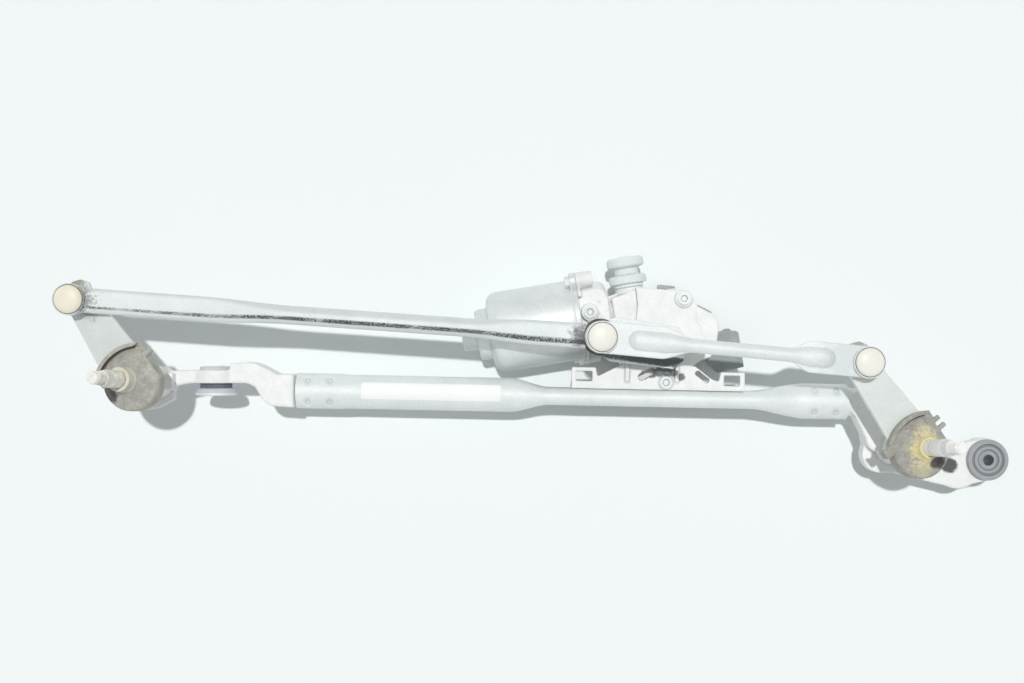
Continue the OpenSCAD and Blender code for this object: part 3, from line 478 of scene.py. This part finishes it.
def leftLinkRing(x, angle):
    a, b, c, d = leftLink["tapers"]
    full = ease(a, b, x) * (1 - ease(c, d, x))
    wide = leftLink["flatWide"] + (2 * leftLink["radius"] - leftLink["flatWide"]) * full
    thick = leftLink["flatThick"] + (2 * leftLink["radius"] - leftLink["flatThick"]) * full
    square = leftLink["flatSquare"] + (2 - leftLink["flatSquare"]) * full
    return barRing(wide, thick, square, angle)


a, b, c, d = leftLink["tapers"]
ends = leftLink["ends"]
leftSteps = spanSteps((ends, a, 8), (a, b, 1.5), (b, c, 12), (c, d, 1.5), (d, leftLength - ends, 8))
linkLook = {key: leftLink[key] for key in ("colour", "shade", "rough", "line", "spots")}
linkFinish = variant("linkSteel", "zinc_steel", **linkLook)
settle("leftLinkBar", loftRings(leftSteps, leftLinkRing, leftPlace), linkFinish, "left_link")

rightPlace = placeAlong(rightLink["pin"], rightLink["ball"])
rightLength = (Vector(rightLink["ball"]) - Vector(rightLink["pin"])).length


def rightLinkRing(x, angle):  # a flat plate with a tongue-shaped bead pressed up and down from it
    r = rightLink
    (nearA, nearB), (farA, farB) = r["shoulders"]
    slim = ease(nearA, nearB, x) * (1 - ease(rightLength - farB, rightLength - farA, x))
    wide = r["wide"][x > rightLength / 2]
    half = (wide + (r["slim"] - wide) * slim) / 2
    over = max(-x, x - rightLength)
    if over > 0:
        half *= math.sqrt(max(0, 1 - (over / (wide / 2)) ** 2))
    half = max(0.2, half)
    side = 4 * ((angle + math.pi / 2) / (2 * math.pi) % 1)  # 0 under the middle, 2 on top of it
    y = half * (side if side <= 1 else 2 - side if side <= 3 else side - 4)
    up = 1 if 1 < side < 3 else -1
    z = r["plateThick"] / 2 * (1 - min(1, abs(y) / half) ** 14) ** (1 / 14)
    inside = min(x - r["beadEnds"][0], rightLength - r["beadEnds"][1] - x)
    if inside > 0:
        broad = r["noseWide"] + (r["bead"] - r["noseWide"]) * slim
        broad *= math.sqrt(1 - (1 - min(1, inside / 9)) ** 2)
        rise = r["bead"] * min(1, inside / 6) ** 0.5
        if abs(y) < broad:
            z = max(z, rise * math.sqrt(1 - (y / broad) ** 2))
    return y, up * z


leverEnd = [(rightLength + start, rightLength + end, step) for start, end, step in rightLink["leverEnd"]]
middle = (rightLink["crankEnd"][-1][1], leverEnd[0][0], 8)
rightSteps = spanSteps(*rightLink["crankEnd"], middle, *leverEnd)
rightLinkFinish = variant("rightLinkSteel", "zinc_steel", spots=rightLink["spots"])
rightShape = loftRings(rightSteps, rightLinkRing, rightPlace, count=96)
settle("rightLinkBar", rightShape, rightLinkFinish, "right_link", sharp=30)

# cups that hold the ball sockets
cup = dict(outer=11.9, inner=10.4, half=6, roll=0.4, groove=1.7, gap=0.7)


def cupRing(name, place, x, node, finish):
    o, i, h, r = cup["outer"], cup["inner"], cup["half"], cup["roll"]
    seat = h - cup["groove"]
    profile = [(i, -h), (o - r, -h), (o, -h + r), (o, h - r), (o - r, h), (i + cup["gap"], h), (i, seat), (i, -h)]
    place = place @ Matrix.Translation((x * mm, 0, 0))
    piece = settle(name, spinProfile(profile, place), finish, node, stands=False)
    # the groove's faces get painted shade
    paintFaces(piece, grooveShade, place, lambda radius, spot: spot.z > seat and radius < i + cup["gap"])


# painted shade for the groove between each socket's dome and its cup
grooveShade = buildFinish("grooveShade", dict(colour=(150, 146, 138), shade=(104, 100, 94), grime=(200, 198, 192),
                                            grimeAmount=0.25, rough=0.7, clouds=180))
cupRing("leftLinkCrankCup", leftPlace, 0, "left_link", linkFinish)
cupRing("leftLinkLeverCup", leftPlace, leftLength, "left_link", linkFinish)
cupRing("rightLinkCrankCup", rightPlace, 0, "right_link", finishes["zinc_steel"])
cupRing("rightLinkLeverCup", rightPlace, rightLength, "right_link", finishes["zinc_steel"])

# grease pressed out round the lower crank cup
grease = dict(profile=[(11.8, -3), (13.2, -2.6), (13.9, -0.6), (13.8, 1.4), (13, 3), (11.8, 3.6), (11.8, -3)],
              look=dict(colour=(92, 88, 82), shade=(64, 61, 57), grime=(140, 136, 126), grimeAmount=0.25, rough=0.6))
greaseFinish = buildFinish("blackGrease", grease["look"])
settle("crankGrease", spinProfile(grease["profile"], leftPlace), greaseFinish, "left_link", stands=False)

# ivory sockets, closed by a domed top
socketTop = dict(dome=9.2, rim=10.6, seat=6.02, foot=-6.4, bore=6.9, ball=8.05)


def socketCap(name, place, x, node, finish):
    dome, rim, seat, foot, bore, ball = (socketTop[key] for key in ("dome", "rim", "seat", "foot", "bore", "ball"))
    profile = [(0, dome), (4, dome - 0.15), (7.5, dome - 0.6), (9.4, dome - 1.4), (10.3, dome - 2.2), (rim, dome - 2.9),
               (rim, seat), (10.38, seat), (10.38, foot + 0.5), (9.9, foot), (bore, foot), (bore, -4.1), (ball, 0),
               (5.7, 5.7), (0, ball)]
    settle(name, spinProfile(profile, place @ Matrix.Translation((x * mm, 0, 0))), finish, node)


leftIvory = variant("ivoryAged", "ivory_plastic", colour=(243, 239, 222), shade=(234, 228, 206))
socketCap("leftLeverSocket", leftPlace, leftLength, "left_lever_socket", leftIvory)
socketCap("rightLeverSocket", rightPlace, rightLength, "right_lever_socket", finishes["ivory_plastic"])
socketCap("rightCrankSocket", rightPlace, 0, "right_crank_socket", finishes["ivory_plastic"])
print("links done")


# castings, caps and mouldings take the CAD solids with soft edges

paleRubber = variant("paleRubber", "mount_rubber", colour=(236, 241, 241), shade=(220, 227, 228),
                     grime=(160, 168, 170))
lilacRubber = variant("lilacRubber", "mount_rubber", colour=(208, 210, 217), shade=(192, 194, 202),
                      grime=(214, 216, 222))
# painted shade for the left grommet's lower rim
paintedShadeRubber = variant("paintedShadeRubber", "mount_rubber", colour=(112, 116, 126), shade=(92, 96, 106))
dullSteel = variant("dullSteel", "dark_steel", colour=(168, 175, 180), shade=(148, 155, 160))
# painted shadow: a dark band on the crank arm where the right link's plate casts its shadow
crankFinish = variant("crankZinc", "zinc_steel", grimeAmount=0.12, band=dict(
    origin=(-256, 88.6, 35), turn=172, at=11.2, width=4.4, amount=5, colour=(92, 95, 98)))
# bolt heads get strong painted shade in their hollows
boltFinish = variant("boltZinc", "zinc_steel", hollow=0.9, hollowTone=(96, 98, 99))
carrierShade = dict(height=24, colour=(92, 95, 97), places=(
    (-268, 66.5, 2.6), (-262, 67.8, 3.2), (-256, 68.8, 3.4), (-250, 68.6, 3.2), (-244.5, 67.4, 2.8), (-240, 65, 2.2)))
carrierFinish = variant("carrierCast", "cast_metal", spots=[
    dict(centre=(x, y, carrierShade["height"]), radius=radius, edge=1.5, colour=carrierShade["colour"], strength=0.9,
         breakup=160) for x, y, radius in carrierShade["places"]])
leftLeverFinish = variant("leftLeverWorn", "lever_steel", colour=(226, 231, 228), shade=(215, 221, 218), spots=[
    dict(centre=(-697.8, 137, 44.3), radius=4, edge=6, colour=(128, 118, 98), strength=0.7, breakup=420),
    dict(centre=(-687, 116, 48.6), radius=5, edge=6, colour=(150, 150, 144), strength=0.5, breakup=300)])
rightLeverFinish = variant("rightLeverWorn", "lever_steel", spots=[
    dict(centre=(-111.7, 91, 56.3), radius=4, edge=6, colour=(132, 124, 106), strength=0.6, breakup=420)])
# a black patch painted on the arm below the right shaft
rightHolderFinish = variant("darkPatchCast", "cast_metal", spots=[
    dict(centre=(-28.7, -4.6, 11), radius=6, edge=1.5, colour=(68, 70, 72), strength=0.95, breakup=160)])
for node, name, voxel, passes, keep, finish in (
        ("left_pivot_holder", "leftHolder", 0.8, 10, 0.5, None),
        ("right_pivot_holder", "rightHolder", 0.8, 10, 0.5, rightHolderFinish),
        ("gear_housing", "gearHousing", 0.7, 5, 0.4, None),
        ("motor_carrier", "motorCarrier", 0.6, 5, 0.5, carrierFinish),
        ("gear_cover", "gearCover", 0.8, 4, 0.4, None),
        ("connector", "connectorBlock", 0.6, 3, 0.5, None),
        ("motor_can", "motorCan", 0.7, 4, 0.4, None),
        ("motor_mount_rubber", "motorRubber", 0.5, 5, 0.5, paleRubber),
        ("crank_arm", "crankPlate", 0.5, 3, 0.5, crankFinish),
        ("carrier_bolt_set", "carrierBolts", 0.35, 2, 0.5, boltFinish),
        ("left_lever", "leftLeverPlate", 0.5, 3, 0.4, leftLeverFinish),
        ("right_lever", "rightLeverPlate", 0.5, 3, 0.4, rightLeverFinish)):
    softCopy(node, name, voxel, passes, keep, finish)

rightCapFinish = variant("stainedCap", "cap_plastic", colour=(180, 179, 171), shade=(152, 150, 143), spots=[
    dict(centre=(-61, 13, 62), radius=8, edge=8, colour=(240, 226, 164), strength=0.8),
    dict(centre=(-62, 24, 56), radius=4, edge=6, colour=(226, 216, 172), strength=0.5),
    dict(centre=(-64, 0, 56), radius=5, edge=7, colour=(230, 220, 176), strength=0.5),
    # two black patches painted on the cap below the shaft
    dict(centre=(-53, 2.6, 57.5), radius=5.2, edge=1.5, colour=(60, 58, 56), strength=0.9),
    dict(centre=(-48.5, 1, 54), radius=4, edge=1.5, colour=(60, 58, 56), strength=0.9)])
rightCap = softCopy("right_cap", "rightCap", 0.5, 6, 0.5, rightCapFinish)

# the left cap has a cream collar
collar = dict(low=12.2, reach=10.5)
collarFinish = variant("creamCollar", "ivory_plastic", colour=(226, 222, 206), shade=(206, 200, 180),
                       grime=(150, 138, 112), grimeAmount=0.16, clouds=120)
# a black patch painted on the cap below the shaft
leftCapFinish = variant("darkPatchCap", "cap_plastic", spots=[
    dict(centre=(-667, 53.5, 62), radius=6.2, edge=2, colour=(66, 63, 60), strength=0.9)])
leftCap = softCopy("left_cap", "leftCap", 0.5, 6, 0.5, leftCapFinish)
paintFaces(leftCap, collarFinish, leftShaftPlace,
           lambda radius, spot: spot.z > collar["low"] and radius < collar["reach"])

# painted shade on the inner wall of each cap's lip
lip = dict(turn=127, centre=-10, inner=32.7, spread=1.0, low=1.2, high=5.4, reach=17.5)
lipShade = buildFinish("lipShade", dict(colour=(84, 80, 74), shade=(66, 62, 58), grime=(120, 112, 98), grimeAmount=0.2,
                                        rough=0.8))


def inLipShade(radius, spot):
    off = math.hypot(spot.x - lip["centre"], spot.y) - lip["inner"]
    return lip["low"] < spot.z < lip["high"] and abs(off) < lip["spread"] and spot.x > lip["reach"]


for cap, place in ((leftCap, leftShaftPlace), (rightCap, rightShaftPlace)):
    paintFaces(cap, lipShade, place @ Matrix.Rotation(math.radians(lip["turn"]), 4, "Z"), inLipShade)
print("castings and caps done")

# seal between the can's mouth and the gear housing
seal = dict(at=-56.45, thick=0.45, inner=12.5, outer=29.4)
sealPlace = wormPlace @ Matrix.Translation((seal["at"] * mm, 0, 0)) @ Matrix.Rotation(math.pi / 2, 4, "Y")
low, high = seal["inner"], seal["outer"]
sealProfile = [(low, 0), (high, 0), (high, seal["thick"]), (low, seal["thick"]), (low, 0)]
settle("mouthSeal", spinProfile(sealProfile, sealPlace), finishes["cast_metal"], "gear_housing", stands=False)

# wiper shafts, with a knurled cone and a thread for the arm's nut
shaft = dict(radius=6, neck=6.5, neckFrom=22, foot=-57, coneLow=39, coneHigh=46, tip=58, coneTip=5.4, thread=5,
             pitch=1.25, threadDeep=0.7, knurls=40, knurlDeep=0.3, undercut=0.6, lead=0.9, footBevel=0.7)


def shaftRing(x, angle):
    s = shaft
    if x <= s["coneLow"]:
        radius = s["radius"] + (s["neck"] - s["radius"]) * ease(s["neckFrom"], s["neckFrom"] + 1, x)
        radius -= s["undercut"] * ease(s["coneLow"] - 0.8, s["coneLow"], x)
    elif x <= s["coneHigh"]:
        share = (x - s["coneLow"]) / (s["coneHigh"] - s["coneLow"])
        radius = s["neck"] + (s["coneTip"] - s["neck"]) * share
        radius -= s["knurlDeep"] * (1 - math.cos(s["knurls"] * angle)) / 2
    else:
        turn = (x / s["pitch"] - angle / (2 * math.pi)) % 1
        radius = s["thread"] - s["threadDeep"] * abs(2 * turn - 1)
        radius -= s["lead"] * ease(s["tip"] - 1.2, s["tip"], x)
    if x < s["foot"] + 1:
        radius -= s["footBevel"] * (s["foot"] + 1 - x)
    return radius * math.cos(angle), radius * math.sin(angle)


foot, neck, low, high = (shaft[key] for key in ("foot", "neckFrom", "coneLow", "coneHigh"))
shaftSteps = spanSteps((foot, foot + 1, 0.5), (foot + 1, neck - 4, 12), (neck - 4, neck, 2), (neck, neck + 1, 0.25),
                       (neck + 1, low - 1, 4), (low - 1, low, 0.4), (low + 0.01, high, 0.7),
                       (high + 0.01, shaft["tip"], 0.16))
alongShaft = Matrix.Rotation(-math.pi / 2, 4, "Y")  # local x up the shaft
leftShaftFinish = variant("shaftTarnished", "shaft_steel", colour=(254, 252, 246), shade=(226, 220, 206),
                          grime=(120, 108, 86), grimeAmount=0.22)
for side, place, finish in (("left", leftShaftPlace, leftShaftFinish),
                            ("right", rightShaftPlace, finishes["shaft_steel"])):
    shape = loftRings(shaftSteps, shaftRing, place @ alongShaft, count=120)
    markCreases(settle(side + "Shaft", shape, finish, side + "_shaft", sharp=30).data)
print("shafts done")

# right grommet, stepped rubber round its sleeve
rightRubber = [(5.62, -12.5), (14.6, -12.5), (15.9, -11.2), (15.9, -6.5), (11.98, -6.5), (11.98, 7.5), (15.9, 7.5),
               (15.9, 12), (15.4, 13.1), (14.4, 13.5), (12.9, 13.4), (12.3, 12.4), (11.9, 11.9), (10.9, 11.9),
               (10.5, 12.7), (9.6, 13.1), (8.6, 12.9), (8.1, 11.9), (5.62, 11.8), (5.62, -12.5)]
rightShape = spinProfile(rightRubber, Matrix.Identity(4))
markCreases(settle("rightGrommet", rightShape, finishes["mount_rubber"], "right_mount_grommet").data)
nodes["right_mount_sleeve"].data.materials[0] = dullSteel

# left grommet lies on its side, its sleeve has a wide foot
lyingPlace = Matrix.Translation((-598.7 * mm, 65 * mm, 12.5 * mm)) @ Matrix.Rotation(-math.pi / 2, 4, "X")
leftRubber = dict(neck=(-8.9, -5), reach=9, profile=[
    (5.62, -9), (12.2, -9), (12.2, -5.02), (10.98, -5.02), (10.98, 5.02), (12.5, 5.02), (12.5, 6.8), (11.8, 7.6),
    (5.62, 7.6), (5.62, -9)])
leftSleeve = dict(neck=(-12.6, -9), reach=9, profile=[
    (4.25, -14.5), (15.4, -14.5), (16, -13.9), (15.9, -12.6), (15.2, -10), (14.2, -9.02), (5.58, -9.02), (5.58, 8.2),
    (4.25, 8.2), (4.25, -14.5)])
# the grommet's lower rim gets painted shade, the sleeve's neck the lilac rubber
for name, shape, node, finish, under in (
        ("leftGrommet", leftRubber, "left_mount_grommet", lilacRubber, paintedShadeRubber),
        ("leftSleeve", leftSleeve, "left_mount_sleeve", finishes["zinc_steel"], lilacRubber)):
    low, high = shape["neck"]
    piece = settle(name, spinProfile(shape["profile"], lyingPlace), finish, node)
    paintFaces(piece, under, lyingPlace, lambda radius, spot: low < spot.z < high and radius > shape["reach"])

# blank label on the tube
label = dict(start=50.5, end=158.3, low=-22, high=35.5, lift=0.12, corner=2, cuts=14)
labelFinish = buildFinish("labelPaper", dict(colour=(252, 252, 252), shade=(248, 248, 247), grime=(226, 226, 222),
                                             grimeAmount=0.05, rough=0.6, bump=0.02))
labelRadius = tube["radius"] + label["lift"]
labelLow, labelHigh = (math.radians(label[end]) * labelRadius for end in ("low", "high"))
bm = bmesh.new()
bm.faces.new([bm.verts.new((x, y, 0)) for x, y in ((label["start"], labelLow), (label["end"], labelLow),
                                                  (label["end"], labelHigh), (label["start"], labelHigh))])
bmesh.ops.bevel(bm, geom=bm.verts[:], offset=label["corner"], offset_type="OFFSET", segments=6, profile=0.5,
                affect="VERTICES", material=-1)
for cut in range(1, label["cuts"]):
    height = labelLow + (labelHigh - labelLow) * cut / label["cuts"]
    whole = bm.verts[:] + bm.edges[:] + bm.faces[:]
    bmesh.ops.bisect_plane(bm, geom=whole, plane_co=(0, height, 0), plane_no=(0, 1, 0))
for vert in bm.verts:  # rolled round the tube
    turn = vert.co.y / labelRadius
    vert.co = Vector((vert.co.x, labelRadius * math.sin(turn), labelRadius * math.cos(turn)))
bmesh.ops.transform(bm, matrix=tubePlace @ Matrix.Scale(mm, 4), verts=bm.verts)
settle("tubeLabel", bm, labelFinish, "frame_tube", stands=False)
print("grommets and label done")


# stage, light and camera

stage = dict(colour=(240, 244, 244), size=8, drop=0.2, sky=(245, 248, 249), sunTurn=(0.03, -0.21, -1), sunLevel=2.05,
             sunWide=1.7, fill=0.41, backdrop=0.93, glossNear=1.0, glossFar=0.55, glossSpan=0.7)
bm = bmesh.new()
bmesh.ops.create_grid(bm, x_segments=1, y_segments=1, size=stage["size"] / 2)
bmesh.ops.translate(bm, vec=(-0.36, 0.08, tableZ - stage["drop"] * mm), verts=bm.verts)
floorMesh = bpy.data.meshes.new("floor")
bm.to_mesh(floorMesh)
bm.free()
floor = bpy.data.objects.new("floor", floorMesh)
scene.collection.objects.link(floor)
floorFinish = bpy.data.materials.new("paleTable")
floorFinish.use_nodes = True
shader = floorFinish.node_tree.nodes["Principled BSDF"]
shader.inputs["Base Color"].default_value = tone(*stage["colour"])
shader.inputs["Roughness"].default_value = 0.9
shader.inputs["Specular IOR Level"].default_value = 0.1
floorMesh.materials.append(floorFinish)

world = bpy.data.worlds.new("softRoom")
scene.world = world
world.use_nodes = True
tree = world.node_tree
background = tree.nodes["Background"]
background.inputs["Color"].default_value = tone(*stage["sky"])
path = addNode(tree, "ShaderNodeLightPath")
direction = addNode(tree, "ShaderNodeSeparateXYZ", {0: addNode(tree, "ShaderNodeTexCoord").outputs["Generated"]})
span = stage["glossSpan"]
room = addRange(tree, direction.outputs["Y"], -span, span, stage["glossNear"], stage["glossFar"])
level = addRange(tree, path.outputs["Is Camera Ray"], 0, 1, stage["fill"], stage["backdrop"])
seen = addNode(tree, "ShaderNodeMix", {0: path.outputs["Is Glossy Ray"], 2: level, 3: room})
tree.links.new(seen.outputs[0], background.inputs["Strength"])

for name, share, glossy in (("key", 0.6, False), ("keyGloss", 0.4, True)):  # most of the light gives no glint
    sun = bpy.data.lights.new(name, "SUN")
    sun.energy, sun.angle = stage["sunLevel"] * share, math.radians(stage["sunWide"])
    lamp = bpy.data.objects.new(name, sun)
    lamp.rotation_euler = Vector(stage["sunTurn"]).to_track_quat("-Z", "Y").to_euler()
    lamp.visible_glossy = glossy
    scene.collection.objects.link(lamp)

cameraView = dict(place=(-0.3694, 0.092, 1.1155), lens=50, sensor=36)
camera = bpy.data.objects.new("camera", bpy.data.cameras.new("camera"))
camera.location = cameraView["place"]
camera.data.lens, camera.data.sensor_width = cameraView["lens"], cameraView["sensor"]
camera.data.clip_end = 50
scene.collection.objects.link(camera)
scene.camera = camera
print("stage, light and camera done")
